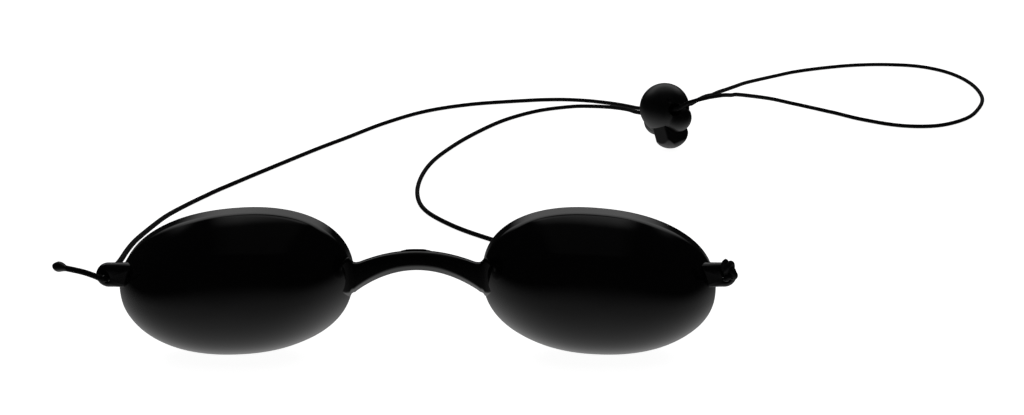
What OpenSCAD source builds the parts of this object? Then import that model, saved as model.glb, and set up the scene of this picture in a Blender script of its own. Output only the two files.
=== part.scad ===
// Shield goggles: two opaque domed eye cups on a flexible arched nose bridge,
// worn on a thin elastic cord with a spring-loaded ball lock.
// The goggles stand upright on their lower edges, domes towards -Y, eye side
// towards +Y. The origin is under the middle of the goggles, Z is up, in mm.

/* [Eye cups] */
// Width of one cup across its outline
cup_w = 44.4; // [38:0.2:50]
// Height of one cup across its outline
cup_h = 29.4; // [25:0.2:33]
// Fullness of the outline, 2 is a plain ellipse
cup_fullness = 2.2; // [2:0.05:2.6]
// Climb of the outline towards the nose, per mm of width
cup_climb = 0.07; // [0:0.002:0.1]
// How much blunter the nose end is than the temple end
cup_bluntness = 0.04; // [0:0.01:0.12]
// Distance between the centres of the two cups
cup_spacing = 69; // [66:0.5:74]
// Depth of the dome in front of the crease
dome_depth = 9.8; // [8:0.2:12]
// Share of the dome's depth that bulges evenly, the rest rounds off its edge
dome_roundness = 0.3; // [0.2:0.05:1]
// Depth of the straight side wall behind the crease
side_depth = 3.4; // [3:0.1:6]
// Wall thickness of the cups
shell_t = 1.5; // [1:0.1:2.2]

/* [Nose bridge] */
// Front to back thickness of the bridge
bridge_t = 2.5; // [2:0.1:3]
// Height of the bridge at its middle
bridge_mid_h = 3.9; // [3:0.1:5]
// Height of the bridge at each flexing neck
neck_h = 5.8; // [5:0.1:7]
// Rise of the middle of the bridge over its necks
bridge_rise = 3.4; // [1:0.1:6]
// Height of a neck over the nose end of the cups
neck_rise = 0.4; // [-1:0.1:2]
// Distance of the bridge's middle plane behind the crease
bridge_back = 0; // [-0.4:0.1:1]
// Gap between the neck's flexing axis and the edge of a cup
neck_gap = 1.1; // [0.9:0.1:2]
// Extra height of the flare where it meets a cup, above and below
flare_h = 1.4; // [0.2:0.1:2]
// How far the flare's far end bends forwards over the dome's edge
flare_forward = 2.2; // [1:0.1:3]
// Radial clearance around a neck
neck_clear = 0.05; // [0.03:0.01:0.1]

/* [Temple lugs] */
// Radius of the lug's round end
lug_r = 2.3; // [2:0.05:2.6]
// Distance of the lug's hole outside the edge of a cup
lug_reach = 1.4; // [1.2:0.1:4]
// Front to back thickness of a lug
lug_t = 2; // [1.6:0.1:2.6]
// How far a lug stands in front of the crease
lug_front = 2.5; // [2:0.1:3.2]
// Height of the lug's hole over the middle of a cup
lug_rise = 2.7; // [0:0.1:4]
// Diameter of the lug's hole
lug_hole_d = 1.5; // [1.3:0.1:1.8]
// How far the hole lies outside and below the middle of the lug's round end
lug_offset = 0.35; // [0:0.05:0.5]

/* [Cord] */
// Diameter of the elastic cord
cord_d = 1.1; // [0.9:0.05:1.2]
// Diameter of the melted bead on the free end
bead_d = 2; // [1.8:0.1:2.6]
// Diameter of the tied knot
knot_d = 3.6; // [3.2:0.1:4.2]
// Length of the stub above the knot's middle
stub_l = 3.2; // [2.4:0.1:4]

/* [Cord lock] */
// Diameter of the ball
ball_d = 13.3; // [12.8:0.1:14.2]
// Lean of the lock from upright, in degrees
lock_lean = 23; // [20:1:28]
// Turn of the lock about the vertical, in degrees
lock_turn = 45; // [42:1:48]
// Diameter of a cord hole
hole_d = 3.2; // [2.9:0.1:3.4]
// Distance between the two cord holes
hole_pitch = 5.2; // [5.0:0.1:5.4]
// Distance of the cord holes below the ball's middle
hole_drop = 0.6; // [0.4:0.1:0.8]
// Radius of the round cheeks in front of and behind the plunger
cheek_r = 3.9; // [3.5:0.1:4.2]
// Distance of a cheek's middle from the ball's middle, along the cord
cheek_out = 3.4; // [3:0.1:3.7]
// Distance of a cheek's middle below the ball's middle
cheek_drop = 3.2; // [2.9:0.1:3.5]
// Width of the plunger along the row of holes
plunger_w = 8.6; // [8.2:0.1:9]
// Thickness of the plunger along the cord
plunger_t = 5; // [4.6:0.1:5.2]
// Radius of the plunger's upright edges
plunger_edge = 0.6; // [0.4:0.1:1]
// Distance of the plunger's tip below the ball's middle
plunger_reach = 11.2; // [10.8:0.1:12.4]
// Radius of the plunger's round end, seen along the cord
plunger_round = 5.2; // [5:0.1:5.8]
// Radius of the plunger's round end, seen from the side
plunger_nose = 2.7; // [2.65:0.05:4]
// Width of a cord slot in the plunger
slot_w = 2.6; // [2.2:0.1:2.8]
// Travel of the plunger
travel = 1.6; // [1:0.1:1.8]
// Clearance of the plunger in its pocket
pocket_clear = 0.05; // [0.03:0.01:0.1]
// Wall left over the plunger at the corners of its pocket
pocket_wall = 0.8; // [0.6:0.1:1]
// Outer diameter of the spring
spring_d = 3.6; // [3.2:0.1:3.8]
// Diameter of the spring's wire
wire_d = 0.4; // [0.3:0.05:0.5]
// Coils of the spring
spring_turns = 3.5; // [2.5:0.5:4]

/* [Hidden] */
$fn = 64;

// Steps around a cup's outline, and rings from the tip of a dome to its crease
outline_steps = 64;
dome_rings = 11;
// How tightly the front of a dome rounds off towards its edge
edge_power = 5;
// Steps around and along the bridge, and the fullness of its section
section_steps = 24;
bridge_steps = 28;
section_fullness = 2.6;
// Steps along a flare, its length, and its extra thickness front and back
flare_steps = 8;
flare_l = 3.8;
flare_t = 0.3;
// Sides of the cord, rings and sides of one curl of the spring
cord_sides = 8;
curl_rings = 8;
wire_sides = 6;
// How far a cutting shape runs past what it cuts, and a peg into its base
past = 1;
// Ball lock: spring seat play, locating peg, wall over the spring, gate mark
spring_play = 0.05;
spring_clear = 0.2;
peg_d = 2;
peg_h = 0.8;
crown_wall = 1.25;
gate_d = 1.2;
gate_deep = 0.25;
gate_up = 18;
gate_side = -32;
notch_drop = 4.4;
skin = "#1b1b1d";

// The crease lies so that the goggles' depth is centred on the origin
crease_y = (dome_depth - side_depth) / 2;
rim_y = crease_y + side_depth;
half_w = cup_w / 2;
half_h = cup_h / 2;

// Outline of a cup about its own centre, x towards the temple and z up
function full(v, r) = r * sign(v) * pow(abs(v), 2 / cup_fullness);
function slant(x, z) = z * (1 - cup_bluntness * x / half_w) - cup_climb * x;
function outline(inset) = [
    for (i = [0 : outline_steps - 1])
        let (a = -360 * i / outline_steps)
        let (x = full(cos(a), half_w - inset))
        let (z = full(sin(a), half_h - inset))
        [x, slant(x, z)]
];
// Middle height that sets the lowest point of the outline on the surface
cup_mid = -min([for (p = outline(0)) p[1]]);
cup_x = cup_spacing / 2;
// Distance from the outer crease back to the hollow's own crease
crease_shift = shell_t / 3;
lug_x = cup_x + half_w + lug_reach;
lug_z = cup_mid + lug_rise;
lug_face = crease_y - lug_front;
lug_rear = lug_face + lug_t;

// Neck: the upright axis that each cup flexes about
neck_x = cup_x - half_w - neck_gap;
neck_y = crease_y + bridge_back;
neck_z = cup_mid + cup_climb * half_w + neck_rise;
neck_r = bridge_t / 2;

// Height and middle of the bridge's section at a distance x from its centre
function bar_h(x) = bridge_mid_h + (neck_h - bridge_mid_h) * pow(x / neck_x, 2);
function bar_z(x) = neck_z + bridge_rise * (1 - pow(x / neck_x, 2));
function section(x, t, h, y, z) = [
    for (i = [0 : section_steps - 1])
        let (a = 360 * i / section_steps)
        let (c = sign(cos(a)) * pow(abs(cos(a)), 2 / section_fullness))
        let (s = sign(sin(a)) * pow(abs(sin(a)), 2 / section_fullness))
        [x, y + c * t / 2, z + s * h / 2]
];

// Closed surface through rings of n points each, with a point or a flat end
function ring_faces(count, n) = [
    for (r = [0 : count - 2])
        for (i = [0 : n - 1])
            let (j = (i + 1) % n)
            for (f = [[r * n + i, (r + 1) * n + i, r * n + j], [r * n + j, (r + 1) * n + i, (r + 1) * n + j]])
                f
];
function end_faces(start, n, tip, flip) = [
    for (i = [0 : n - 1])
        let (j = (i + 1) % n)
        flip ? [tip, start + j, start + i] : [tip, start + i, start + j]
];
module skinned(rings, first, last) {
    n = len(rings[0]);
    count = len(rings);
    points = concat([for (ring = rings) each ring], [first, last]);
    faces = concat(
        ring_faces(count, n),
        end_faces(0, n, count * n, false),
        end_faces((count - 1) * n, n, count * n + 1, true)
    );
    polyhedron(points, faces);
}
function ring_middle(ring) = [for (k = [0 : 2]) [for (p = ring) p[k]] * [for (p = ring) 1 / len(ring)]];
module skinned_flat(rings) {
    skinned(rings, ring_middle(rings[0]), ring_middle(rings[len(rings) - 1]));
}

// One side of a cup: a dome up to the crease, then straight back
function fall(u) = dome_roundness * u * u + (1 - dome_roundness) * pow(u, edge_power);
function dome_ring(edge, u, base, depth) = [
    for (p = edge) [p[0] * u, base - depth * (1 - fall(u)), p[1] * u]
];
module domed_form(inset, base, depth, rear) {
    edge = outline(inset);
    rings = concat(
        [for (k = [1 : dome_rings]) dome_ring(edge, sin(90 * k / dome_rings), base, depth)],
        [dome_ring(edge, 1, rear, 0)]
    );
    skinned(rings, [0, base - depth, 0], [0, rear, 0]);
}
module cup_outer() {
    domed_form(0, crease_y, dome_depth, rim_y);
}
// The hollow keeps the wall's thickness, so its crease lies a little behind
module cup_hollow() {
    domed_form(shell_t, crease_y + crease_shift, dome_depth - shell_t + crease_shift, rim_y + past);
}
// Round ended lug on the temple side, growing out of the dome's rounded edge
module lug() {
    inner = half_w - shell_t - past;
    end_x = half_w + lug_reach - lug_offset;
    end_z = lug_rise + lug_offset;
    translate([end_x, lug_rear, end_z])
        rotate([90, 0, 0])
        cylinder(h = lug_t, r = lug_r);
    translate([inner, lug_face, end_z - lug_r])
        cube([end_x - inner, lug_t, 2 * lug_r]);
}
module lug_hole() {
    translate([half_w + lug_reach, lug_rear + past, lug_rise])
        rotate([90, 0, 0])
        cylinder(h = lug_t + 2 * past, d = lug_hole_d);
}
// Flare that carries the bridge, widening and bending over the edge of a cup
module flare() {
    from = neck_x - cup_x;
    skinned_flat([
        for (k = [0 : flare_steps])
            let (u = k / flare_steps)
            section(
                from + u * flare_l,
                bridge_t + 2 * flare_t * u * u,
                neck_h + 2 * flare_h * sin(180 * pow(u, 0.8)),
                neck_y - flare_forward * u * u,
                neck_z - cup_mid
            )
    ]);
}
module neck_groove() {
    translate([neck_x - cup_x, neck_y, neck_z - cup_mid - neck_h])
        cylinder(h = 2 * neck_h, r = neck_r + neck_clear);
}
// The right cup, drawn about its own centre
module eye_cup() {
    translate([cup_x, 0, cup_mid])
        difference() {
            union() {
                cup_outer();
                lug();
                flare();
            }
            cup_hollow();
            lug_hole();
            neck_groove();
        }
}
module right_eye_cup() {
    color(skin)
        eye_cup();
}
module left_eye_cup() {
    color(skin)
        mirror([1, 0, 0])
        eye_cup();
}

// Arched bar whose ends are round where they flex in the cups' grooves
module nose_bridge() {
    reach = neck_x + neck_r + past;
    color(skin)
        intersection() {
            skinned_flat([
                for (k = [0 : bridge_steps])
                    let (x = -reach + 2 * reach * k / bridge_steps)
                    section(x, bridge_t, bar_h(x), neck_y, bar_z(x))
            ]);
            union() {
                translate([-neck_x, neck_y - bridge_t, 0])
                    cube([2 * neck_x, 2 * bridge_t, 2 * cup_h]);
                for (side = [-1, 1])
                    translate([side * neck_x, neck_y, 0])
                        cylinder(h = 2 * cup_h, r = neck_r);
            }
        }
}

// Place of the lock: it leans back on its cord and stands on the plunger's end
end_drop = plunger_reach - plunger_round;
lock_at = [58.5, 109.6, end_drop * cos(lock_lean) + plunger_round];
module at_lock() {
    translate(lock_at)
        rotate([-lock_lean, 0, lock_turn])
        children();
}
// Directions in the lock: along the row of holes, out of the front, and up
row_dir = [cos(lock_turn), sin(lock_turn), 0];
out_dir = [sin(lock_turn) * cos(lock_lean), -cos(lock_turn) * cos(lock_lean), sin(lock_lean)];
up_dir = [-sin(lock_turn) * sin(lock_lean), cos(lock_turn) * sin(lock_lean), cos(lock_lean)];
function in_lock(row, out) = lock_at + row * row_dir + out * out_dir - hole_drop * up_dir;
// The cord runs straight from behind the ball to just in front of it
lead_in = -7.6;
lead_out = 7.2;
near_hole = -hole_pitch / 2;
far_hole = hole_pitch / 2;

// Route of each stretch of the cord, laid as it falls on a table
left_route = concat(
    [[-lug_x, lug_face, lug_z], [-lug_x, lug_rear + cord_d, lug_z]],
    [
        [-57.6, 8.2, 17.2], [-58.8, 17.4, 15.1], [-59.9, 27.4, 12.5], [-61.6, 47.2, 6.6],
        [-61.8, 57.4, 3.8], [-60.6, 66.8, 1.6], [-57.2, 75.3, 0.6], [-50.2, 84.9, 0.6],
        [-35.2, 104, 0.6], [-26.7, 113.9, 0.6], [-17.9, 124.2, 0.6], [-7.3, 133.4, 0.6],
        [4.8, 139, 0.6], [17.5, 141.8, 0.6], [30, 143.4, 0.6], [38.3, 140.8, 1.3],
        [44.3, 135, 2.8], [48.9, 128.3, 4.5], [52.4, 122, 6]
    ],
    [in_lock(far_hole, lead_in), in_lock(far_hole, lead_out)]
);
right_route = concat(
    [[lug_x, lug_face, lug_z], [lug_x, lug_rear + cord_d, lug_z]],
    [
        [57.6, 7.8, 15.9], [56, 13, 13.4], [52.6, 19, 11.2], [40, 31.9, 5],
        [32, 38.4, 2.6], [22, 44.9, 1], [12.5, 51.6, 0.6], [4, 58.4, 0.6],
        [-2.7, 66.6, 0.6], [-5.3, 75.4, 0.6], [-5.2, 85.9, 0.6], [-2.8, 96.8, 0.6],
        [2.3, 107.8, 0.6], [8.6, 117.8, 0.6], [16.1, 127, 0.6], [25.3, 134, 0.6],
        [34.6, 136.3, 1], [40.5, 133.5, 2.2], [45.8, 127.6, 3.9], [49.6, 120.6, 5.6]
    ],
    [in_lock(near_hole, lead_in), in_lock(near_hole, lead_out)]
);
loop_route = concat(
    [in_lock(far_hole, lead_out)],
    [
        [66.2, 106.1, 13.9], [67.4, 106.3, 14.5], [68.4, 107, 14.7], [69.5, 108.4, 14.5],
        [71.4, 112, 13.5], [74.2, 118.4, 12], [77.6, 126, 10], [81.8, 135.4, 7.6],
        [87, 145.5, 5.2], [99.2, 163, 1.2], [106, 168.4, 0.6], [116, 172.2, 0.6],
        [126.5, 174.8, 0.6], [137, 175.3, 0.6], [146.8, 173.2, 0.6], [153.9, 166.8, 0.6],
        [157.2, 156.8, 0.6], [156.4, 144.8, 0.6], [151.6, 134.6, 0.6], [145.6, 127.4, 0.6],
        [136.5, 122.4, 0.6], [126.5, 122.4, 0.6], [117, 127, 0.6], [108, 134, 0.6],
        [99, 137.4, 1.6], [91.5, 134.8, 4.1], [80.4, 121.4, 10.1], [77, 115, 12.3],
        [74.2, 109.8, 14.2], [71.4, 106, 15.3], [68.5, 103.1, 15.9], [65.5, 101.8, 15.6],
        [63.2, 102.2, 14.6]
    ],
    [in_lock(near_hole, lead_out)]
);
// The free end leaves the left lug forwards and bends away to the side
tail_route = [
    for (p = [[0, 0, 0], [-0.4, -1.2, 0.5], [-1.5, -1.9, 1.7], [-3.6, -1.8, 2.5], [-6.6, -1.6, 3.1]])
        [-lug_x, lug_face, lug_z] + p
];
knot_at = [lug_x - 0.3, lug_face - 1.5, lug_z + 1.5];

// A round tube swept along a route, its ends square to the given directions
function unit(v) = v / norm(v);
function across(d) = unit(cross(d, [0, 0, 1]));
function tube_ring(centre, d, r, sides) = [
    for (i = [0 : sides - 1])
        let (a = 360 * i / sides)
        let (side = across(d))
        centre + r * (cos(a) * side + sin(a) * cross(d, side))
];
function way(route, k, first, last) =
    k == 0 ? unit(first)
    : k == len(route) - 1 ? unit(last)
    : unit(unit(route[k] - route[k - 1]) + unit(route[k + 1] - route[k]));
module tube(route, d, sides, first, last) {
    skinned_flat([
        for (k = [0 : len(route) - 1])
            tube_ring(route[k], way(route, k, first, last), d / 2, sides)
    ]);
}
// The bead wraps the last tenth of a diameter of the tail
tail_end = len(tail_route) - 1;
tail_way = unit(tail_route[tail_end] - tail_route[tail_end - 1]);
bead_at = tail_route[tail_end] + (bead_d / 2 - cord_d / 10) * tail_way;
module cord_left_strand() {
    color(skin)
        tube(left_route, cord_d, cord_sides, [0, 1, 0], out_dir);
}
module cord_right_strand() {
    color(skin)
        tube(right_route, cord_d, cord_sides, [0, 1, 0], out_dir);
}
module cord_loop() {
    color(skin)
        tube(loop_route, cord_d, cord_sides, out_dir, -out_dir);
}
module cord_tail() {
    color(skin)
        difference() {
            tube(tail_route, cord_d, cord_sides, [0, -1, 0], tail_way);
            translate(bead_at)
                sphere(d = bead_d);
        }
}
module cord_end_bead() {
    color(skin)
        translate(bead_at)
        sphere(d = bead_d);
}
// The knot is drawn flat against the front of the right lug
module cord_end_knot() {
    color(skin)
        intersection() {
            translate(knot_at)
                union() {
                    sphere(d = knot_d);
                    cylinder(h = stub_l - cord_d / 2, d = cord_d);
                    translate([0, 0, stub_l - cord_d / 2])
                        sphere(d = cord_d);
                }
            translate([lug_x - knot_d, lug_face - 2 * knot_d, lug_z - knot_d])
                cube([3 * knot_d, 2 * knot_d, 3 * knot_d]);
        }
}

// Ball lock, drawn about the ball's middle with the cord running along Y
pocket_w = plunger_w + 2 * pocket_clear;
pocket_t = plunger_t + 2 * pocket_clear;
ball_r = ball_d / 2;
corner_reach = norm([pocket_w / 2, pocket_t / 2]) + pocket_wall;
pocket_top = sqrt(ball_r * ball_r - corner_reach * corner_reach);
plunger_top = pocket_top - travel;
spring_top = ball_r - crown_wall;
spring_bore_d = spring_d + 2 * spring_clear;
// At rest the tops of the plunger's slots bear on the cord
slot_top = cord_d / 2 + pocket_clear - hole_drop;
slot_low = slot_top - cord_d - 2 * pocket_clear - travel;
slot_mids = [slot_low + slot_w / 2, slot_top - slot_w / 2];
module cord_holes(d, z) {
    for (side = [-1, 1])
        translate([side * hole_pitch / 2, ball_d, z])
            rotate([90, 0, 0])
            cylinder(h = 2 * ball_d, d = d);
}
module cord_slots() {
    for (z = slot_mids)
        cord_holes(slot_w, z);
    for (side = [-1, 1])
        translate([side * hole_pitch / 2 - slot_w / 2, -ball_d, min(slot_mids)])
            cube([slot_w, 2 * ball_d, max(slot_mids) - min(slot_mids)]);
}
module cheeks() {
    for (side = [-1, 1])
        translate([0, side * cheek_out, -cheek_drop])
            sphere(r = cheek_r);
}
module lock_barrel() {
    color(skin)
        at_lock()
        difference() {
            union() {
                sphere(d = ball_d);
                cheeks();
            }
            translate([-pocket_w / 2, -pocket_t / 2, -2 * ball_d])
                cube([pocket_w, pocket_t, 2 * ball_d + pocket_top]);
            translate([-ball_d, -pocket_t / 2, -2 * ball_d])
                cube([2 * ball_d, pocket_t, 2 * ball_d - notch_drop]);
            cylinder(h = spring_top, d = spring_bore_d);
            cord_holes(hole_d, -hole_drop);
            rotate([-gate_up, 0, gate_side])
                translate([0, -ball_r, 0])
                rotate([90, 0, 0])
                cylinder(h = 2 * gate_deep, d = gate_d, center = true);
        }
}
module plunger_blank() {
    linear_extrude(height = plunger_reach + plunger_top)
        union() {
            square([plunger_w - 2 * plunger_edge, plunger_t], center = true);
            square([plunger_w, plunger_t - 2 * plunger_edge], center = true);
            for (sx = [-1, 1])
                for (sy = [-1, 1])
                    translate([sx * (plunger_w / 2 - plunger_edge), sy * (plunger_t / 2 - plunger_edge)])
                        circle(r = plunger_edge);
        }
}
module lock_plunger() {
    color(skin)
        at_lock()
        difference() {
            union() {
                intersection() {
                    translate([0, 0, -plunger_reach])
                        plunger_blank();
                    union() {
                        translate([0, 0, -end_drop])
                            sphere(r = plunger_round);
                        translate([-ball_d, -ball_d, -end_drop])
                            cube(2 * ball_d);
                    }
                    union() {
                        translate([-ball_d, 0, plunger_nose - plunger_reach])
                            rotate([0, 90, 0])
                            cylinder(h = 2 * ball_d, r = plunger_nose);
                        translate([-ball_d, -ball_d, plunger_nose - plunger_reach])
                            cube(2 * ball_d);
                    }
                }
                translate([0, 0, plunger_top - past])
                    cylinder(h = peg_h + past, d = peg_d);
            }
            cord_slots();
        }
}
// Coil spring between the plunger's top and the crown of the ball
spring_base = plunger_top + spring_play + wire_d / 2;
spring_l = spring_top - spring_play - wire_d / 2 - spring_base;
spring_steps = round(spring_turns * curl_rings);
spring_mid_r = (spring_d - wire_d) / 2;
spring_pitch = spring_l / spring_turns;
echo(spring_gap = spring_pitch - wire_d);
spring_route = [
    for (k = [0 : spring_steps])
        let (a = 360 * k / curl_rings)
        [spring_mid_r * cos(a), spring_mid_r * sin(a), spring_base + spring_l * k / spring_steps]
];
module lock_spring() {
    color("silver")
        at_lock()
        tube(
            spring_route, wire_d, wire_sides,
            spring_route[1] - spring_route[0],
            spring_route[spring_steps] - spring_route[spring_steps - 1]
        );
}

left_eye_cup();
right_eye_cup();
nose_bridge();
cord_left_strand();
cord_right_strand();
cord_loop();
cord_tail();
cord_end_bead();
cord_end_knot();
lock_barrel();
lock_plunger();
lock_spring();
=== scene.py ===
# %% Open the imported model
import math

import bpy
import numpy as np
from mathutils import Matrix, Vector


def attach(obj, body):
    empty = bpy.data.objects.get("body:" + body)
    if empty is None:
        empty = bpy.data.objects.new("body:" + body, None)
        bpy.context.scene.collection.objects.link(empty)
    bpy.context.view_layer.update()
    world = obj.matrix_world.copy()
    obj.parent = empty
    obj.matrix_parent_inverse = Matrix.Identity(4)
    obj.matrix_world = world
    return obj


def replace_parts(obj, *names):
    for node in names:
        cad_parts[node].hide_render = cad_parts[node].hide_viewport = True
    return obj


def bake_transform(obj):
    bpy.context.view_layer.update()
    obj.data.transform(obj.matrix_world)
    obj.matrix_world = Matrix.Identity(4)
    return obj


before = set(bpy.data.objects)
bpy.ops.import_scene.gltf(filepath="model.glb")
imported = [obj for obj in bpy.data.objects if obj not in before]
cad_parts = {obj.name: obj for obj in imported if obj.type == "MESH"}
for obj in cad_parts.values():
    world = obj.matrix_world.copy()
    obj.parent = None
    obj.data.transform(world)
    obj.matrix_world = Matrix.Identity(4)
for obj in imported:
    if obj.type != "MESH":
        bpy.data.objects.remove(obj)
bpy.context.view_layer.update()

# %% [markdown]
# ## Goggles on an elastic cord
# The object is a pair of opaque black eye cups on a thin nose bridge, all one
# moulding, worn on a round elastic cord that a ball lock draws tight.
# Four things make the picture: the cord's sweep over the table, the gloss of
# the cups, the satin ball, and a white table with hardly a shadow.
# All shapes below are worked out in millimetres and turned to metres once,
# where a mesh is made. X runs to the right, Y towards the face, Z up.

# %% The camera
scene = bpy.context.scene
scene.view_settings.view_transform = "Standard"

camera_data = bpy.data.cameras.new("camera")
camera_data.lens = 45.0
camera_data.sensor_width = 36.0
camera_data.clip_start = 0.01
camera = bpy.data.objects.new("camera", camera_data)
camera.location = (0.0179, -0.2106, 0.1307)
camera.rotation_euler = (math.radians(65), 0, 0)
scene.collection.objects.link(camera)
scene.camera = camera
print("camera looks down by", round(90 - math.degrees(camera.rotation_euler.x), 1), "degrees")

# %% [markdown]
# ## The goggles' measurements
# The cord starts at the goggles and ends at the lock, so their places are
# needed before anything is drawn. The outline of a cup is a superellipse, a
# little fuller than an ellipse, that climbs towards the nose. It could be
# traced with a curve, but a formula keeps both sides and the hollow alike.

# %% Measurements of the goggles, in millimetres
HALF_W, HALF_H = 22.2, 14.7
FULLNESS, CLIMB, BLUNTNESS = 2.2, 0.07, 0.04
CUP_X = 34.5
CREASE_Y, RIM_Y = 3.2, 6.6
DOME_DEPTH, WALL = 9.8, 1.5


def cup_edge(inset, steps):
    """Outline of the right cup about its own middle, as rows of x and z."""
    a = np.arange(steps) * 2 * math.pi / steps
    x = np.sign(np.cos(a)) * np.abs(np.cos(a)) ** (2 / FULLNESS) * (HALF_W - inset)
    z = np.sign(np.sin(a)) * np.abs(np.sin(a)) ** (2 / FULLNESS) * (HALF_H - inset)
    return np.column_stack([x, z * (1 - BLUNTNESS * x / HALF_W) - CLIMB * x])


CUP_Z = -cup_edge(0, 64)[:, 1].min()
LUG_OUT, LUG_RISE = 1.4, 2.7
LUG_X, LUG_Z = CUP_X + HALF_W + LUG_OUT, CUP_Z + LUG_RISE
LUG_FRONT, LUG_REAR = 0.7, 2.7
NECK_X, NECK_Y = 11.2, 3.2
NECK_Z = CUP_Z + CLIMB * HALF_W + 0.4
print("middle of a cup is", round(CUP_Z, 2), "mm up, a lug's hole", round(LUG_Z, 2))

# %% [markdown]
# The lock stands on its plunger on the table, leaning back and turned half to
# the side. Its place could be typed into every point of the cord near it. With
# one middle and three directions, the cord's holes are found from the lock.

# %% Where the lock stands, and its directions
LOCK_LEAN, LOCK_TURN = math.radians(23), math.radians(45)
PLUNGER_REACH, PLUNGER_ROUND = 11.2, 5.2
LOCK_AT = np.array([58.5, 109.6, (PLUNGER_REACH - PLUNGER_ROUND) * math.cos(LOCK_LEAN) + PLUNGER_ROUND])
LOCK_ROW = np.array([math.cos(LOCK_TURN), math.sin(LOCK_TURN), 0])
LOCK_OUT = np.array([
    math.sin(LOCK_TURN) * math.cos(LOCK_LEAN),
    -math.cos(LOCK_TURN) * math.cos(LOCK_LEAN),
    math.sin(LOCK_LEAN),
])
LOCK_UP = np.cross(LOCK_ROW, LOCK_OUT) * -1
# A cord hole's distance from the ball's middle, to the side and down, and
# places along the hole: behind the ball, inside it, and where strand meets loop
HOLE_SIDE, HOLE_DROP = 2.6, 0.6
BEHIND, INSIDE, MEET = -7.6, -2.9, 7.2


def in_lock(row, out):
    """A point on the axis of a cord hole: row picks the hole, out runs along it."""
    return LOCK_AT + row * LOCK_ROW + out * LOCK_OUT - HOLE_DROP * LOCK_UP


print("ball's middle at", LOCK_AT.round(2), "up", LOCK_UP.round(3))

# %% [markdown]
# ## Drawing a cord
# A cord could be a curve object with a bevel. A mesh tube is used instead,
# because it keeps a clean strip of UV along its length: one turn around is 1
# across, and 1 mm of cord is 1 along. The braid's pattern is drawn on that
# strip later. Rings are carried along without twist, so the braid stays even.


# %% Helpers that make a mesh, a smooth route and a tube
def unit(v):
    return v / np.linalg.norm(v, axis=-1, keepdims=True)


def make_piece(name, points, faces, strip=None):
    """A mesh object from points in mm. strip gives UV corners, one list a face."""
    mesh = bpy.data.meshes.new(name)
    mesh.from_pydata((np.asarray(points) / 1000).tolist(), [], faces)
    mesh.polygons.foreach_set("use_smooth", [True] * len(mesh.polygons))
    if strip is not None:
        layer = mesh.uv_layers.new(name="strip")
        layer.data.foreach_set("uv", np.array([c for face in strip for c in face], np.float32).ravel())
    mesh.update()
    piece = bpy.data.objects.new(name, mesh)
    scene.collection.objects.link(piece)
    return piece


# Height of the middle of a cord that lies on the table
LOWEST = 0.57


def distance_along(route):
    """How far along the route each of its points lies."""
    return np.r_[0, np.cumsum(np.linalg.norm(np.diff(route, axis=0), axis=1))]


def smooth_route(points, step=0.5):
    """A smooth curve through the points, cut into equal steps."""
    p = np.array(points, float)
    p = np.vstack([2 * p[0] - p[1], p, 2 * p[-1] - p[-2]])
    fine = []
    for a, b, c, d in zip(p, p[1:], p[2:], p[3:]):
        for t in np.arange(16) / 16:
            square, cube = 2 * a - 5 * b + 4 * c - d, 3 * (b - c) + d - a
            fine.append(b + 0.5 * ((c - a) * t + square * t**2 + cube * t**3))
    fine = np.array(fine + [p[-2]])
    along = distance_along(fine)
    even = np.linspace(0, along[-1], round(along[-1] / step) + 1)
    route = np.column_stack([np.interp(even, along, fine[:, k]) for k in range(3)])
    route[:, 2] = np.maximum(route[:, 2], LOWEST)
    return route


def rings_along(route, radius, sides):
    """Rings about the route, carried along without twist."""
    ahead = unit(np.gradient(route, axis=0))
    side = unit(np.cross(ahead[0], [0.3, 0.2, 1.0]))
    a = np.arange(sides) * 2 * math.pi / sides
    rings = []
    for centre, way, r in zip(route, ahead, np.broadcast_to(radius, len(route))):
        side = unit(side - way * np.dot(side, way))
        rings.append(centre + r * (np.outer(np.cos(a), side) + np.outer(np.sin(a), np.cross(way, side))))
    return np.array(rings)


def tube(name, route, radius, sides=16):
    """A closed tube along a route in mm, with its UV strip."""
    rings = rings_along(route, radius, sides)
    count = len(rings)
    along = distance_along(route)
    faces, strip = [], []
    for k in range(count - 1):
        for i in range(sides):
            j = (i + 1) % sides
            faces.append([k * sides + i, k * sides + j, (k + 1) * sides + j, (k + 1) * sides + i])
            u, w = i / sides, (i + 1) / sides
            strip.append([(u, along[k]), (w, along[k]), (w, along[k + 1]), (u, along[k + 1])])
    for end, at in ((0, 0), (count - 1, along[-1])):
        tip = count * sides + (end > 0)
        for i in range(sides):
            edge = [end * sides + (i + 1) % sides, end * sides + i]
            faces.append([tip] + (edge if end == 0 else edge[::-1]))
            strip.append([(i / sides, at)] * 3)
    return make_piece(name, np.vstack([rings.reshape(-1, 3), route[0], route[-1]]), faces, strip)


# %% [markdown]
# ## The elastic cord
# One piece of round elastic, 1.1 mm thick, does everything. Its free end
# stands out in front of the left lug, it runs through the hole and round
# behind to the lock, turns back in a loop on the table, comes through the
# lock again and ends in a knot in front of the right lug.
# A cloth or rope simulation would give some curve, but not this one, so the
# route is a row of points read from the photograph and laid on the table. The
# right lug and cup hide the first 73 mm of the right strand, and a guess fills
# them in.

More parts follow.
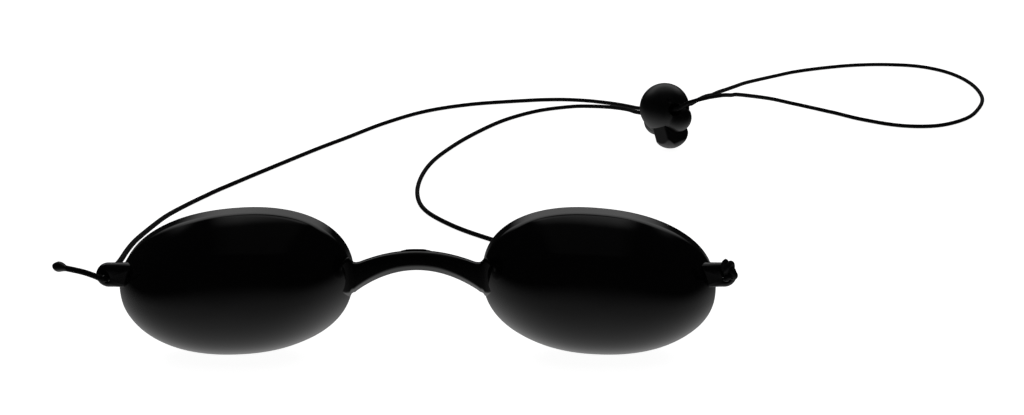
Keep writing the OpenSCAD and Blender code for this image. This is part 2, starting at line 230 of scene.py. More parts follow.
# %% Routes of the cord
CORD_R = 0.55
tail = [
    (-LUG_X - 6.6, LUG_FRONT - 1.6, LUG_Z + 3.1), (-LUG_X - 3.5, LUG_FRONT - 1.6, LUG_Z + 2.3),
    (-LUG_X - 1.4, LUG_FRONT - 1.5, LUG_Z + 1.4), (-LUG_X - 0.4, LUG_FRONT - 1.0, LUG_Z + 0.5),
]
left_points = tail + [
    (-LUG_X, LUG_FRONT, LUG_Z), (-LUG_X, 3.8, LUG_Z),
    (-57.6, 8.2, 17.2), (-58.8, 17.4, 15.1), (-59.9, 27.4, 12.5), (-61.6, 47.2, 6.6), (-61.8, 57.4, 3.8),
    (-60.6, 66.8, 1.6), (-57.2, 75.3, 0.6), (-50.2, 84.9, 0.6), (-35.2, 104, 0.6), (-26.7, 113.9, 0.6),
    (-17.9, 124.2, 0.6), (-7.3, 133.4, 0.6), (4.8, 139, 0.6), (17.5, 141.8, 0.6), (30, 143.4, 0.6),
    (38.3, 140.8, 1.3), (44.3, 135, 2.8), (48.9, 128.3, 4.5), (52.4, 122, 6),
    in_lock(HOLE_SIDE, BEHIND) + 0.5 * LOCK_UP, in_lock(HOLE_SIDE, INSIDE), in_lock(HOLE_SIDE, MEET),
]
right_points = [
    (LUG_X, LUG_FRONT, LUG_Z), (LUG_X, 3.8, LUG_Z),
    (57.6, 7.8, 15.9), (56, 13, 13.4), (52.6, 19, 11.2), (40, 31.9, 5), (32, 38.4, 2.6), (22, 44.9, 1),
    (12.5, 51.6, 0.6), (4, 58.4, 0.6), (-2.7, 66.6, 0.6), (-5.3, 75.4, 0.6), (-5.2, 85.9, 0.6),
    (-2.8, 96.8, 0.6), (2.3, 107.8, 0.6), (8.6, 117.8, 0.6), (16.1, 127, 0.6), (25.3, 134, 0.6),
    (34.6, 136.3, 1), (40.5, 133.5, 2.2), (45.8, 127.6, 4.1), (49.6, 120.6, 6.1),
    in_lock(-HOLE_SIDE, BEHIND) + 1.1 * LOCK_UP, in_lock(-HOLE_SIDE, INSIDE) + 0.2 * LOCK_UP,
    in_lock(-HOLE_SIDE, MEET),
]
loop_points = [
    in_lock(HOLE_SIDE, MEET),
    (66.2, 106.1, 13.9), (67.4, 106.3, 14.5), (68.4, 107, 14.7), (69.5, 108.4, 14.5), (71.4, 112, 13.5),
    (74.2, 118.4, 12), (77.6, 126, 10), (81.8, 135.4, 7.6), (87, 145.5, 5.2), (99.2, 163, 1.2),
    (106, 168.4, 0.6), (116, 172.2, 0.6), (126.5, 174.8, 0.6), (137, 175.3, 0.6), (146.8, 173.2, 0.6),
    (153.9, 166.8, 0.6), (157.2, 156.8, 0.6), (156.4, 144.8, 0.6), (151.6, 134.6, 0.6), (145.6, 127.4, 0.6),
    (136.5, 122.4, 0.6), (126.5, 122.4, 0.6), (117, 127, 0.6), (108, 134, 0.6), (99, 137.4, 1.6),
    (91.5, 134.8, 4.1), (80.4, 121.4, 10.1), (77, 115, 12.3), (74.2, 109.8, 14.2), (71.4, 106, 15.3),
    (68.5, 103.1, 15.9), (65.5, 101.8, 15.6), (63.2, 102.2, 14.6),
    in_lock(-HOLE_SIDE, MEET),
]
routes = {
    "left": smooth_route(left_points),
    "right": smooth_route(right_points),
    "loop": smooth_route(loop_points),
}
for name, route in routes.items():
    print(name, "route is", round(float(distance_along(route)[-1]), 1), "mm")

# %% [markdown]
# On the real object the cord is one length. It is drawn as three tubes: one strand from each cup, and the
# loop, which is attached to the bridge.

# %% The three visible stretches of the cord
cord_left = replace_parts(tube("elastic_left", routes["left"], CORD_R), "cord_left_strand", "cord_tail")
cord_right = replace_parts(tube("elastic_right", routes["right"], CORD_R), "cord_right_strand")
cord_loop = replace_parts(tube("elastic_loop", routes["loop"], CORD_R), "cord_loop")
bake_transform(cord_left)
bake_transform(cord_right)
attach(cord_loop, "bridge")

# %% [markdown]
# ## The knot and the melted bead
# The right end is stopped by an overhand knot. Drawn flat, an overhand knot
# is a trefoil with one lobe cut open, so the trefoil's formula gives the
# crossings, and one end is led into the lug's hole and the other up as a stub.
# The left end was melted with a flame, which leaves a lumpy bead a little
# wider than the cord. It is a tube whose radius swells and closes again.

# %% Knot in front of the right lug
KNOT_AT = np.array([LUG_X - 0.1, LUG_FRONT - 1.4, LUG_Z + 2.2])
turn = np.radians(np.linspace(335, 622, 22))
flat = np.column_stack([np.sin(turn) + 2 * np.sin(2 * turn), np.cos(turn) - 2 * np.cos(2 * turn)])
tilt = math.radians(52)
lobes = np.column_stack([
    0.46 * (flat[:, 0] * math.cos(tilt) - flat[:, 1] * math.sin(tilt)),
    0.60 * np.sin(3 * turn),
    0.58 * (flat[:, 0] * math.sin(tilt) + flat[:, 1] * math.cos(tilt)),
])
knot_points = np.vstack([
    [(LUG_X, LUG_FRONT + 1.0, LUG_Z), (LUG_X - 0.1, LUG_FRONT - 0.2, LUG_Z + 0.1)],
    KNOT_AT + lobes,
    [KNOT_AT + (-0.8, 0.4, 1.6), KNOT_AT + (-0.2, 0.3, 2.2)],
])
knot_route = smooth_route(knot_points, 0.2)
knot_ends = np.minimum(1, np.linspace(len(knot_route), 0, len(knot_route)) / 1.6 + 0.45)
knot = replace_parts(tube("elastic_knot", knot_route, CORD_R * knot_ends, 20), "cord_end_knot")
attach(knot, "right_cup")
print("cord in the knot:", round(float(distance_along(knot_route)[-1]), 1), "mm")

# %% Melted bead on the free end
bead_way = unit(np.array(tail[0]) - np.array(tail[1]))
bead_s = np.array([0, 0.25, 0.5, 0.75, 1.0, 1.25, 1.5, 1.75, 2.0, 2.2, 2.4, 2.55, 2.66, 2.72])
bead_r = np.array([0.5, 0.58, 0.68, 0.8, 0.9, 0.96, 0.98, 0.95, 0.87, 0.76, 0.6, 0.42, 0.25, 0.08])
bead_route = np.array(tail[0]) + np.outer(bead_s - 0.35, bead_way)
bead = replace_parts(tube("cord_bead", bead_route, bead_r, 24), "cord_end_bead")
for vertex in bead.data.vertices:
    p = np.array(vertex.co) * 1000
    axis_point = bead_route[0] + bead_way * np.dot(p - bead_route[0], bead_way)
    lump = 1 + 0.06 * math.sin(3.1 * p[0] + 2.2 * p[2]) + 0.05 * math.sin(4.3 * p[1] - 2.9 * p[2])
    vertex.co = Vector((axis_point + (p - axis_point) * lump) / 1000)
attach(bead, "left_cup")

# %% [markdown]
# A cord is more than a shape: it has a length, a thickness and two ends. They could be left for others to
# measure on the mesh. Here the radius is CORD_R, and the length of each stretch is printed where its route
# is made.

# %% [markdown]
# ## The eye cups
# Each cup is a shell 1.5 mm thick: a shallow dome that rounds off quickly at
# its edge, a crease, a short straight wall and a rounded rim. A subdivided box
# would be quick, but gloss shows every wave in it. So the profile is written
# down once as rings, each a scaled or inset copy of the outline, from the tip
# of the dome over the rim to the bottom of the hollow, and skinned.


# %% Helper that skins rings into a closed surface
def skin_rings(rings, first=None, last=None, closed=False):
    """Points and faces over rings of equal length, with tips or a closed row."""
    rings = np.asarray(rings)
    count, n = rings.shape[:2]
    faces = []
    for k in range(count if closed else count - 1):
        m = (k + 1) % count
        for i in range(n):
            j = (i + 1) % n
            faces.append([k * n + i, m * n + i, m * n + j, k * n + j])
    points = list(rings.reshape(-1, 3))
    for tip, start, flip in ((first, 0, False), (last, (count - 1) * n, True)):
        if tip is not None:
            points.append(np.asarray(tip, float))
            for i in range(n):
                edge = [start + i, start + (i + 1) % n]
                faces.append([len(points) - 1] + (edge[::-1] if flip else edge))
    return points, faces


def bend(start, corner, end, count):
    """Points on a curve that rounds a corner, ends included."""
    t = np.linspace(0, 1, count)[:, None]
    return (1 - t) ** 2 * np.array(start) + 2 * t * (1 - t) * np.array(corner) + t**2 * np.array(end)


# %% Profile of the right cup
STEPS = 192
ROUNDNESS, EDGE_POWER = 0.3, 5


def cup_rings():
    """Rings from the tip of the dome over the rim to the bottom of the hollow."""
    profile = []

    def dome(u, inset, base, depth):
        fall = ROUNDNESS * u**2 + (1 - ROUNDNESS) * u**EDGE_POWER
        return (u, inset, base - depth * (1 - fall))

    for u in np.sin(np.linspace(0.02, 1.385, 54)):
        profile.append(dome(u, 0, CREASE_Y, DOME_DEPTH))
    start = dome(0.985, 0, CREASE_Y, DOME_DEPTH)
    for u, y in bend((start[0], start[2]), (1.0, CREASE_Y), (1.0, CREASE_Y + 0.6), 10):
        profile.append((u, 0, y))
    for y in (CREASE_Y + 0.8, 4.8, 5.6, RIM_Y - 0.55):
        profile.append((1, 0, y))
    for inset, y in bend((0, RIM_Y - 0.45), (0, RIM_Y), (0.45, RIM_Y), 7):
        profile.append((1, inset, y))
    for inset, y in bend((WALL - 0.4, RIM_Y), (WALL, RIM_Y), (WALL, RIM_Y - 0.4), 7):
        profile.append((1, inset, y))
    base, depth = CREASE_Y + WALL / 3, DOME_DEPTH - WALL + WALL / 3
    for y in (5.8, 5.2, base + 0.8):
        profile.append((1, WALL, y))
    start = dome(0.985, WALL, base, depth)
    for u, y in bend((1.0, base + 0.7), (1.0, base + 0.1), (start[0], start[2]), 8):
        profile.append((u, WALL, y))
    for u in np.sin(np.linspace(1.385, 0.02, 36)):
        profile.append(dome(u, WALL, base, depth))
    rings = []
    for u, inset, y in profile:
        edge = cup_edge(inset, STEPS) * u
        rings.append(np.column_stack([CUP_X + edge[:, 0], np.full(STEPS, y), CUP_Z + edge[:, 1]]))
    front = (CUP_X, CREASE_Y - DOME_DEPTH, CUP_Z)
    back = (CUP_X, base - depth, CUP_Z)
    return rings, front, back


cup_points, cup_faces = skin_rings(*cup_rings())
print("cup:", len(cup_faces), "faces")

# %% [markdown]
# ## The nose bridge
# The bridge is an arched bar, thinnest at its middle, that widens into each
# cup with a fillet like a fish's tail and laps over the edge of the dome as a
# round tab. It is moulded in one with the cups, but it bends at both ends, so
# the moulding is drawn as two halves that meet at the middle of the arch,
# where nothing moves.


# %% One half of the bridge
ARCH_RISE, ARCH_END = 3.4, 11.9
BAR_HEIGHT, BAR_GROWTH = 3.9, 1.9
TAB_LAP = 2.2


def arch(x):
    """Middle and half of the height of the bar, x mm from the middle of the bridge."""
    share = (x / NECK_X) ** 2
    return NECK_Z + ARCH_RISE * (1 - share), (BAR_HEIGHT + BAR_GROWTH * share) / 2


def fillet(x, end, radius):
    """Growth of a round fillet that starts a radius before its end."""
    reach = np.clip((x - (end - radius)) / radius, 0, 0.985)
    return radius * (1 - math.sqrt(1 - reach * reach))


def bar_section(thick, half, bevel):
    """Section of the bar as rows of y and z, its corners rounded one by one."""
    deep, high = bevel
    corners = [
        ((thick, 0.86 * half), 0.8), ((-thick + 0.2 * half, half), 0.9), ((-thick, high - half), 0.3),
        ((-thick + deep, -half), 0.3), ((thick, -half), 0.8),
    ]
    rows = []
    for k, (corner, r) in enumerate(corners):
        corner = np.array(corner)
        before = np.array(corners[k - 1][0]) - corner
        after = np.array(corners[(k + 1) % 5][0]) - corner
        start = corner + before * min(0.45, r / np.linalg.norm(before))
        end = corner + after * min(0.45, r / np.linalg.norm(after))
        rows.append(bend(start, corner, end, 11))
    return np.vstack(rows)


def bridge_rings():
    """Sections of the right half of the bridge, from its middle into the cup."""
    xs = np.r_[0, 0.04, 0.12, 0.3, np.arange(0.6, 10.4, 0.4), np.arange(10.5, 14.9, 0.1), 14.95, 15.0]
    rings = []
    for x in xs:
        middle, half = arch(min(x, ARCH_END))
        top = middle + half + fillet(x, 12.7, 2.1)
        low = middle - half - fillet(x, 12.7, 0.7)
        close = math.sqrt(1 - np.clip((x - 12.9) / 2.15, 0, 1) ** 2)
        past_neck = max(0, (x - NECK_X) / 3.8)
        y = NECK_Y - TAB_LAP * past_neck**2
        thick = 1.25 + 0.3 * past_neck**2
        half = max((top - low) / 2 * close, 0.3)
        bevel = (0.7 + 0.5 * min(1, x / NECK_X) ** 2, min(1.45, 0.7 * half))
        rows = bar_section(thick, half, bevel)
        rings.append(np.column_stack([np.full(len(rows), x), y + rows[:, 0], (top + low) / 2 + rows[:, 1]]))
    return rings


bridge_points, bridge_faces = skin_rings(
    bridge_rings(), first=(0, NECK_Y, NECK_Z + ARCH_RISE), last=(15.02, NECK_Y - TAB_LAP, NECK_Z)
)
bridge_faces = [face[::-1] for face in bridge_faces]
print("half of the bridge:", len(bridge_faces), "faces")

# %% [markdown]
# ## The lugs
# A lug is a small plate with a round end and a hole, which lies a little
# outside and below the middle of that end. Its outer edges are well rounded. A
# cube and a cylinder joined with a boolean would leave knife edges. Here the
# plate is one closed band of rings that runs through the hole and back over
# the outside.


# %% A lug
LUG_LEAN, LUG_STEPS = 0.09, 96
LUG_HOLE_R, LUG_END_R = 0.75, 2.3


def lug_rings():
    """Rings from the hole over the front face and the edge to the rear face."""
    a = np.arange(LUG_STEPS) * 2 * math.pi / LUG_STEPS
    inner = cup_edge(WALL + 0.7, 512)
    right = inner[inner[:, 0] > 5]
    right = right[np.argsort(right[:, 1])]
    end_x, end_z = -0.35, 0.35
    # Inset of the edge near the dome as a share of the inset at the round end
    tight = 0.4

    def outside(inset):
        """The plate's edge as seen from the hole, whose round end has its own middle."""
        reach = []
        for t in a:
            c, s = math.cos(t), math.sin(t)
            near_dome = np.clip((abs(c / max(abs(s), 0.01)) - 0.7) / 1.2, 0, 1) if c < 0 else 0
            r = LUG_END_R - inset * (1 - (1 - tight) * near_dome)
            along = c * end_x + s * end_z
            far = along + math.sqrt(along**2 - end_x**2 - end_z**2 + r**2)
            if far * c < end_x:
                far = (end_z + math.copysign(r, s)) / s if abs(s) > 0.05 else 9.0
                for _ in range(4):
                    height = np.clip(far * s, end_z - r, end_z + r)
                    root = np.interp(LUG_RISE + height, right[:, 1], right[:, 0]) - HALF_W - LUG_OUT
                    far = min(far, root / c) if c < 0 else far
            reach.append(far)
        return np.array(reach)

    hole = np.full(LUG_STEPS, LUG_HOLE_R)
    edge, soft = 0.95, 0.18
    rows = [(hole, LUG_REAR - soft), (hole, LUG_FRONT + soft)]
    front_lip = bend((0, LUG_FRONT + soft), (0, LUG_FRONT), (soft, LUG_FRONT), 5)[1:]
    rows += [(hole + d, y) for d, y in front_lip]
    rows += [(outside(d), y) for d, y in bend((edge, LUG_FRONT), (0, LUG_FRONT), (0, LUG_FRONT + edge), 7)]
    rows += [(outside(d), y) for d, y in bend((0, LUG_REAR - edge), (0, LUG_REAR), (edge, LUG_REAR), 7)]
    rows += [(hole + d, y) for d, y in bend((soft, LUG_REAR), (0, LUG_REAR), (0, LUG_REAR - soft), 5)[:-1]]
    return [
        np.column_stack([LUG_X + r * np.cos(a), y + LUG_LEAN * r * np.sin(a), LUG_Z + r * np.sin(a)])
        for r, y in rows
    ]


lug_points, lug_faces = skin_rings(lug_rings(), closed=True)
print("lug:", len(lug_faces), "faces")


# %% [markdown]
# Cup, half a bridge and lug are one moulding on the real object. They could be
# fused with a boolean, which leaves ragged seams in gloss. Here the closed
# shells overlap inside one mesh, and the left half is the right one mirrored,
# with its faces turned round.

# %% Left and right half of the moulding
def joined(*parts):
    points, faces = [], []
    for some, their in parts:
        faces += [[i + len(points) for i in face] for face in their]
        points += list(some)
    return np.array(points), faces


half_points, half_faces = joined(
    (cup_points, cup_faces), (bridge_points, bridge_faces), (lug_points, lug_faces)
)
right_half = make_piece("right_moulding", half_points, half_faces)
left_half = make_piece("left_moulding", half_points * (-1, 1, 1), [face[::-1] for face in half_faces])
for half in (left_half, right_half):
    half.data.set_sharp_from_angle(angle=math.radians(38))
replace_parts(left_half, "left_eye_cup", "nose_bridge")
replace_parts(right_half, "right_eye_cup", "nose_bridge")
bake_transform(left_half)
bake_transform(right_half)

# %% [markdown]
# Where the two halves of the mould met, a thin fin of plastic was left along
# the rear top edge of the bridge. It is a thread-thin wedge that fades out at
# both ends.


# %% Fin on the parting line
FIN_FROM, FIN_TO, FIN_FADE = -3.0, 2.6, 1.2


def fin_ring(x):
    """One thin section of the fin, standing on the bridge's top."""
    fade = min(1, (x - FIN_FROM) / FIN_FADE, (FIN_TO - x) / FIN_FADE)
    middle, half = arch(x)
    top = middle + half
    high = top - 0.12 + 0.2 * max(fade, 0.05)
    y = NECK_Y + 0.6
    return [(x, y - 0.09, top - 0.5), (x, y - 0.03, high), (x, y + 0.03, high), (x, y + 0.09, top - 0.5)]


fin_xs = np.linspace(FIN_FROM, FIN_TO, 30)
fin_points, fin_faces = skin_rings(
    [fin_ring(x) for x in fin_xs],
    first=np.mean(fin_ring(fin_xs[0]), axis=0), last=np.mean(fin_ring(fin_xs[-1]), axis=0),
)
parting_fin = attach(make_piece("parting_fin", fin_points, fin_faces), "bridge")

# %% [markdown]
# ## The ball lock
# The lock is a ball with a slotted underside and a sprung plunger in it. Its
# CAD solids have the right shape but knife edges, and moulded parts never do.
# A bevel modifier gets lost where the holes meet the ball, so each solid is
# copied, remeshed into tiny even squares and smoothed, which rounds all
# edges. Each skin is then sunk by a little running clearance, so the
# plunger slides in its pocket although the pocket's corners are round too.


# %% Helper that rounds all edges of a copy of a CAD solid
def softened(name, node, voxel, passes, sunk=0.06):
    piece = bpy.data.objects.new(name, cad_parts[node].data.copy())
    scene.collection.objects.link(piece)
    squares = piece.modifiers.new("squares", "REMESH")
    squares.mode = "VOXEL"
    squares.voxel_size = voxel / 1000
    soften = piece.modifiers.new("soften", "SMOOTH")
    soften.factor, soften.iterations = 0.5, passes
    graph = bpy.context.evaluated_depsgraph_get()
    mesh = bpy.data.meshes.new_from_object(piece.evaluated_get(graph))
    piece.modifiers.clear()
    piece.data = mesh
    skin, outwards = np.empty(3 * len(mesh.vertices)), np.empty(3 * len(mesh.vertices))
    mesh.vertices.foreach_get("co", skin)
    mesh.vertex_normals.foreach_get("vector", outwards)
    mesh.vertices.foreach_set("co", skin - outwards * sunk / 1000)
    mesh.polygons.foreach_set("use_smooth", [True] * len(mesh.polygons))
    print(name, "has", len(mesh.polygons), "faces")
    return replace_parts(piece, node)


# %% Ball and plunger
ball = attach(softened("ball", "lock_barrel", 0.13, 9), "bridge")
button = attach(softened("button", "lock_plunger", 0.13, 9), "lock_button")

# %% [markdown]
# A coil spring inside such a ball pushes the plunger out. The photograph doesn't show it, so its size is a
# guess. A screw modifier could wind it. A tube along a helix is used instead, because it gets the same
# strip of UV as the cord.

# %% Spring between the plunger and the crown of the ball
spring_low, spring_high, spring_r = 1.827, 5.15, 1.6
spring_turn = np.linspace(0, 3.5 * 2 * math.pi, 127)
spring_local = np.column_stack([
    spring_r * np.cos(spring_turn), spring_r * np.sin(spring_turn),
    np.linspace(spring_low, spring_high, len(spring_turn)),
])
lock_back = -LOCK_OUT
spring_route = LOCK_AT + spring_local @ np.array([LOCK_ROW, lock_back, LOCK_UP])
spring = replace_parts(tube("spring", spring_route, 0.2, 12), "lock_spring")
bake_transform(spring)

# %% [markdown]
# ## Materials
# Colours are written as sRGB hex values and turned to linear by one function.
# One small function adds a node, sets it and links it. Pattern sizes are real
# millimetres: a noise whose features are m millimetres wide has a scale of
# 1000 / m, because the mesh is in metres.


# %% Helpers for materials
def colour(code):
    """Linear colour from an sRGB hex value."""
    parts = [int(code[i : i + 2], 16) / 255 for i in (1, 3, 5)]
    return [c / 12.92 if c <= 0.04045 else ((c + 0.055) / 1.055) ** 2.4 for c in parts] + [1.0]


def add(tree, kind, inputs=None, **settings):
    """Add a node. An input is a plain value, or another node's output to link."""
    node = tree.nodes.new(kind)
    for name, value in settings.items():
        setattr(node, name, value)
    for name, value in (inputs or {}).items():
        if isinstance(value, bpy.types.NodeSocket):
            tree.links.new(value, node.inputs[name])
        else:
            node.inputs[name].default_value = value
    return node


def new_material(name, **values):
    """A material with one shader. values are set on the shader's own sockets."""
    material = bpy.data.materials.new(name)
    material.use_nodes = True
    tree = material.node_tree
    tree.nodes.clear()
    names = {key.replace("_", " ").title().replace("Ior", "IOR"): value for key, value in values.items()}
    shader = add(tree, "ShaderNodeBsdfPrincipled", names)
    add(tree, "ShaderNodeOutputMaterial", {"Surface": shader.outputs[0]})
    return material, tree, shader


def per_mm(size):
    """Scale of a noise whose features are size mm wide."""
    return 1000 / size


def wire(tree, shader, tint, roughness, bump):
    """Link a material's colour, roughness and bump to its shader."""
    tree.links.new(tint.outputs["Result"], shader.inputs["Base Color"])
    tree.links.new(roughness.outputs["Result"], shader.inputs["Roughness"])
    tree.links.new(bump.outputs["Normal"], shader.inputs["Normal"])


# %% [markdown]
# ### Glossy moulding
# The cups and the bridge are black polypropylene, injection moulded in a
# polished mould. To the eye that is a near mirror with a black body: almost
# all that is seen is reflection. The surface isn't quite flat, because the
# skin shrinks as it cools, and handling leaves it a little uneven in gloss.

# %% Polypropylene from a polished mould
gloss, tree, shader = new_material("polypropylene_polished_mould", ior=1.49)
place = add(tree, "ShaderNodeTexCoord").outputs["Object"]
shrink = add(tree, "ShaderNodeTexNoise", {"Vector": place, "Scale": per_mm(4.5), "Detail": 2.0})
handled = add(tree, "ShaderNodeTexNoise", {
    "Vector": place, "Scale": per_mm(9), "Detail": 5.0, "Roughness": 0.6,
})
dust = add(tree, "ShaderNodeTexNoise", {"Vector": place, "Scale": per_mm(0.25), "Detail": 2.0})
polish = add(tree, "ShaderNodeMapRange", {
    "Value": handled.outputs["Fac"], "From Min": 0.35, "From Max": 0.7, "To Min": 0.06, "To Max": 0.11,
})
body = add(tree, "ShaderNodeMix", {
    "Factor": dust.outputs["Fac"], "A": colour("#050506"), "B": colour("#0b0b0c"),
}, data_type="RGBA")
skin = add(tree, "ShaderNodeBump", {"Height": shrink.outputs["Fac"], "Strength": 0.25, "Distance": 0.00004})
wire(tree, shader, body, polish, skin)

# %% [markdown]
# ### Satin lock
# The ball and its plunger are black acetal moulded in a spark-eroded mould.
# The mould's fine pits come out as a grain of about 0.1 mm, which turns the
# gloss into a broad grey sheen.

# %% Acetal from a spark-eroded mould
satin, tree, shader = new_material("acetal_spark_eroded_mould", ior=1.48)
place = add(tree, "ShaderNodeTexCoord").outputs["Object"]
grain = add(tree, "ShaderNodeTexNoise", {"Vector": place, "Scale": per_mm(0.16), "Detail": 3.0})
worn = add(tree, "ShaderNodeTexNoise", {"Vector": place, "Scale": per_mm(3.5), "Detail": 4.0})
sheen = add(tree, "ShaderNodeMapRange", {
    "Value": worn.outputs["Fac"], "From Min": 0.35, "From Max": 0.7, "To Min": 0.32, "To Max": 0.42,
})
body = add(tree, "ShaderNodeMix", {
    "Factor": grain.outputs["Fac"], "A": colour("#070708"), "B": colour("#101011"),
}, data_type="RGBA")
pits = add(tree, "ShaderNodeBump", {"Height": grain.outputs["Fac"], "Strength": 0.35, "Distance": 0.00003})
wire(tree, shader, body, sheen, pits)

# %% [markdown]
# ### Braided cord
# The cord is a rubber core inside a sleeve braided from eight polyester yarns. Four wind one way and four
# the other, each over one and under the next, so the surface is a net of small lozenges. On the UV strip
# the two families are two sets of slanted lines, and the height of a lozenge is the product of both. The
# colour follows that height, with a fine random fibre tone on top: painted shade makes the grooves between
# the yarns darker than their tops. The photograph doesn't show single yarns, so their number and their
# pitch of 1 mm are guesses.


# %% Polyester sleeve braided over rubber
def arithmetic(tree, operation, first, second=0.0, third=0.0):
    """One sum on sockets or plain values, for the braid, the table and the world."""
    node = add(tree, "ShaderNodeMath", operation=operation)
    for socket, value in zip(node.inputs, (first, second, third)):
        if isinstance(value, bpy.types.NodeSocket):
            tree.links.new(value, socket)
        else:
            socket.default_value = value
    return node.outputs[0]


YARNS_EACH_WAY, PITCH = 4, 1.0
braid, tree, shader = new_material("polyester_braid_over_rubber", ior=1.5, specular_ior_level=0.12)
strip = add(tree, "ShaderNodeSeparateXYZ", {"Vector": add(tree, "ShaderNodeTexCoord").outputs["UV"]})
around = arithmetic(tree, "MULTIPLY", strip.outputs["X"], YARNS_EACH_WAY * math.pi)
along = arithmetic(tree, "MULTIPLY", strip.outputs["Y"], math.pi / PITCH)
one_way = arithmetic(tree, "SINE", arithmetic(tree, "ADD", around, along))
other_way = arithmetic(tree, "SINE", arithmetic(tree, "SUBTRACT", around, along))
lozenge = arithmetic(tree, "ABSOLUTE", arithmetic(tree, "MULTIPLY", one_way, other_way))
height = arithmetic(tree, "POWER", lozenge, 0.5)
place = add(tree, "ShaderNodeTexCoord").outputs["Object"]
fibres = add(tree, "ShaderNodeTexNoise", {"Vector": place, "Scale": per_mm(0.12), "Detail": 3.0})
surface = arithmetic(tree, "ADD", height, arithmetic(tree, "MULTIPLY", fibres.outputs["Fac"], 0.3))
raised = add(tree, "ShaderNodeBump", {"Height": surface, "Strength": 0.7, "Distance": 0.00009})
# Colour: painted shade, darker in the grooves between the yarns, plus a random fibre tone
painted_groove_shade = add(tree, "ShaderNodeMix", {
    "Factor": surface, "A": colour("#030304"), "B": colour("#0b0b0d"),
}, data_type="RGBA")
lustre = add(tree, "ShaderNodeMapRange", {"Value": fibres.outputs["Fac"], "To Min": 0.5, "To Max": 0.75})
wire(tree, shader, painted_groove_shade, lustre, raised)

# %% [markdown]
# ### Melted end and spring
# Melted polyester sets as a dark, uneven drop with a dull gloss. The spring
# is drawn steel wire, with fine marks along the wire from the drawing die.

# %% Flame-melted polyester
melted, tree, shader = new_material("polyester_flame_melted", ior=1.55)
place = add(tree, "ShaderNodeTexCoord").outputs["Object"]
lumps = add(tree, "ShaderNodeTexNoise", {"Vector": place, "Scale": per_mm(0.5), "Detail": 4.0})
# The colour follows the lumps' height: darker in the dips, lighter on the tops.
lump_tone = add(tree, "ShaderNodeMix", {
    "Factor": lumps.outputs["Fac"], "A": colour("#060505"), "B": colour("#161413"),
}, data_type="RGBA")
dull = add(tree, "ShaderNodeMapRange", {"Value": lumps.outputs["Fac"], "To Min": 0.25, "To Max": 0.5})
uneven = add(tree, "ShaderNodeBump", {"Height": lumps.outputs["Fac"], "Strength": 0.6, "Distance": 0.0001})
wire(tree, shader, lump_tone, dull, uneven)

# %% Drawn steel wire
steel, tree, shader = new_material("spring_steel_drawn", metallic=1.0)
strip = add(tree, "ShaderNodeMapping", {
    "Vector": add(tree, "ShaderNodeTexCoord").outputs["UV"], "Scale": (24.0, 0.4, 1.0),
})
marks = add(tree, "ShaderNodeTexNoise", {"Vector": strip.outputs["Vector"], "Scale": 1.0, "Detail": 3.0})
bright = add(tree, "ShaderNodeMix", {
    "Factor": marks.outputs["Fac"], "A": colour("#8f8d89"), "B": colour("#c4c1bb"),
}, data_type="RGBA")
drawn = add(tree, "ShaderNodeMapRange", {"Value": marks.outputs["Fac"], "To Min": 0.2, "To Max": 0.4})
score = add(tree, "ShaderNodeBump", {"Height": marks.outputs["Fac"], "Strength": 0.3, "Distance": 0.00001})
wire(tree, shader, bright, drawn, score)

# %% [markdown]
# Each piece gets one finish, and the list names beside it the material slot of the part that it stands for.
# This could be set piece by piece. One list keeps finish, slot and pieces together, where they are easy to
# compare.

# %% Dress the pieces
finishes = [
    (gloss, "moulding", [left_half, right_half, parting_fin]),
    (satin, "lock_plastic", [ball, button]),
    (braid, "elastic", [cord_left, cord_right, cord_loop, knot]),
    (melted, "melted_end", [bead]),
    (steel, "spring_wire", [spring]),
]
for material, slot_name, pieces in finishes:
    for piece in pieces:
        piece.data.materials.clear()
        piece.data.materials.append(material)
    print(material.name, "on", len(pieces), "pieces")

# %% [markdown]
# ## Table, light and world
# The photograph is high key: the table is pure white and shows hardly a
# shadow, while the black gloss mirrors a studio that is mostly dark. Turning
# the lamps up would do it and spoil the blacks. Instead the table itself glows
# almost enough to reach white, and the lamp adds the rest, so a trace of the
# contact shadows stays. Glossy rays pass the table and meet the world below.

# %% White table
floor_points = [(-4000, -4000, 0), (4000, -4000, 0), (4000, 4000, 0), (-4000, 4000, 0)]
table = make_piece("table", floor_points, [[0, 1, 2, 3]])
table.visible_glossy = False
paper = bpy.data.materials.new("table_paper")
paper.use_nodes = True
tree = paper.node_tree
tree.nodes.clear()
rays = add(tree, "ShaderNodeLightPath")
sheet = add(tree, "ShaderNodeBsdfDiffuse", {"Color": colour("#f0f0f0")})
mirrored = arithmetic(tree, "MAXIMUM", rays.outputs["Is Glossy Ray"], rays.outputs["Is Transmission Ray"])
seen = arithmetic(tree, "MAXIMUM", rays.outputs["Is Camera Ray"], rays.outputs["Is Diffuse Ray"])
glow_level = arithmetic(tree, "MULTIPLY", arithmetic(tree, "MAXIMUM", seen, mirrored), 0.96)
glow = add(tree, "ShaderNodeEmission", {"Color": (1, 1, 1, 1), "Strength": glow_level})
both = add(tree, "ShaderNodeAddShader")
tree.links.new(sheet.outputs[0], both.inputs[0])
tree.links.new(glow.outputs[0], both.inputs[1])
add(tree, "ShaderNodeOutputMaterial", {"Surface": both.outputs[0]})
table.data.materials.append(paper)

# %% Overhead lamp
lamp_data = bpy.data.lights.new("overhead", "AREA")
lamp_data.shape = "SQUARE"
lamp_data.size = 1.6
lamp_data.energy = 3.0
lamp = bpy.data.objects.new("overhead", lamp_data)
lamp.location = (0.05, 0.1, 1.2)
lamp.visible_camera = False
lamp.visible_glossy = False
scene.collection.objects.link(lamp)

# %% [markdown]
# The world stands for the rest of the studio, as the gloss sees it: the white
# sheet below, brighter towards the back, a white backdrop behind it, a soft
# card overhead, and a dark room in front and at the sides. It is fixed in
# space, and camera rays see plain white.

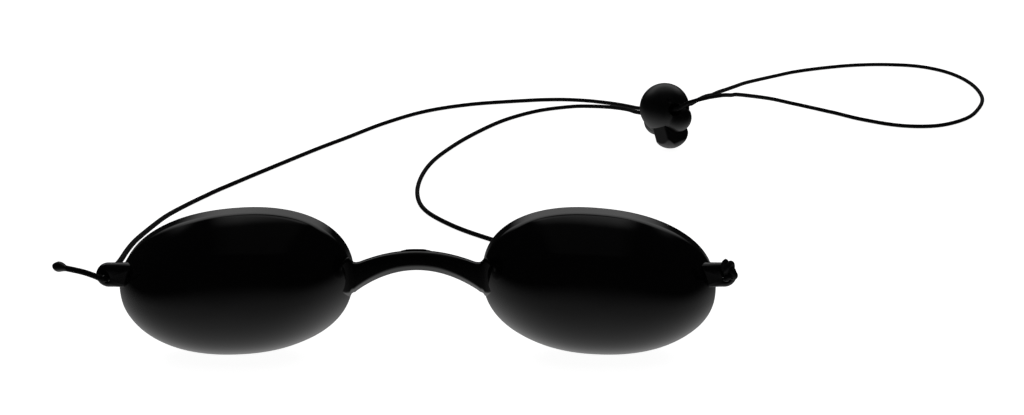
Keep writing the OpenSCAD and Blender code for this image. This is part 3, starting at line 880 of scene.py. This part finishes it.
# %% Studio around the table
world = bpy.data.worlds.new("studio")
scene.world = world
world.use_nodes = True
tree = world.node_tree
tree.nodes.clear()
way = add(tree, "ShaderNodeSeparateXYZ", {"Vector": add(tree, "ShaderNodeTexCoord").outputs["Generated"]})


def band(value, start, end, low, high):
    """A smooth step of brightness."""
    return add(tree, "ShaderNodeMapRange", {
        "Value": value, "From Min": start, "From Max": end, "To Min": low, "To Max": high,
    }, interpolation_type="SMOOTHSTEP").outputs["Result"]


DARK_ROOM = 0.008
up, back, side = way.outputs["Z"], way.outputs["Y"], arithmetic(tree, "ABSOLUTE", way.outputs["X"])
below = arithmetic(tree, "MAXIMUM", arithmetic(tree, "MULTIPLY_ADD", up, -1.25, -0.19), 0.0)
spread = arithmetic(tree, "MULTIPLY_ADD", arithmetic(tree, "MULTIPLY", side, side), 0.5, 0.72)
sheet = arithmetic(tree, "MULTIPLY", arithmetic(tree, "POWER", below, 1.6), spread)
card = arithmetic(tree, "MULTIPLY", band(back, 0.20, 0.42, 0.02, 0.4), band(back, 0.50, 0.62, 1.0, 0.0))
card = arithmetic(tree, "MULTIPLY", card, band(side, 0.28, 0.46, 1.0, 0.0))
card = arithmetic(tree, "MULTIPLY", card, band(up, 0.7, 0.8, 0.0, 1.0))
backdrop = arithmetic(tree, "MULTIPLY", band(up, 0.14, 0.40, 0.0, 0.68), band(up, 0.64, 0.77, 1.0, 0.0))
backdrop = arithmetic(tree, "MULTIPLY", backdrop, band(back, 0.25, 0.55, 0.0, 1.0))
backdrop = arithmetic(tree, "MULTIPLY", backdrop, band(side, 0.5, 0.75, 1.0, 0.0))
above = arithmetic(tree, "ADD", card, backdrop)
room = arithmetic(tree, "ADD", above, arithmetic(tree, "ADD", sheet, DARK_ROOM))
rays = add(tree, "ShaderNodeLightPath")
level = arithmetic(tree, "MAXIMUM", room, rays.outputs["Is Camera Ray"])
light = add(tree, "ShaderNodeBackground", {"Color": (1, 1, 1, 1), "Strength": level})
add(tree, "ShaderNodeOutputWorld", {"Surface": light.outputs[0]})
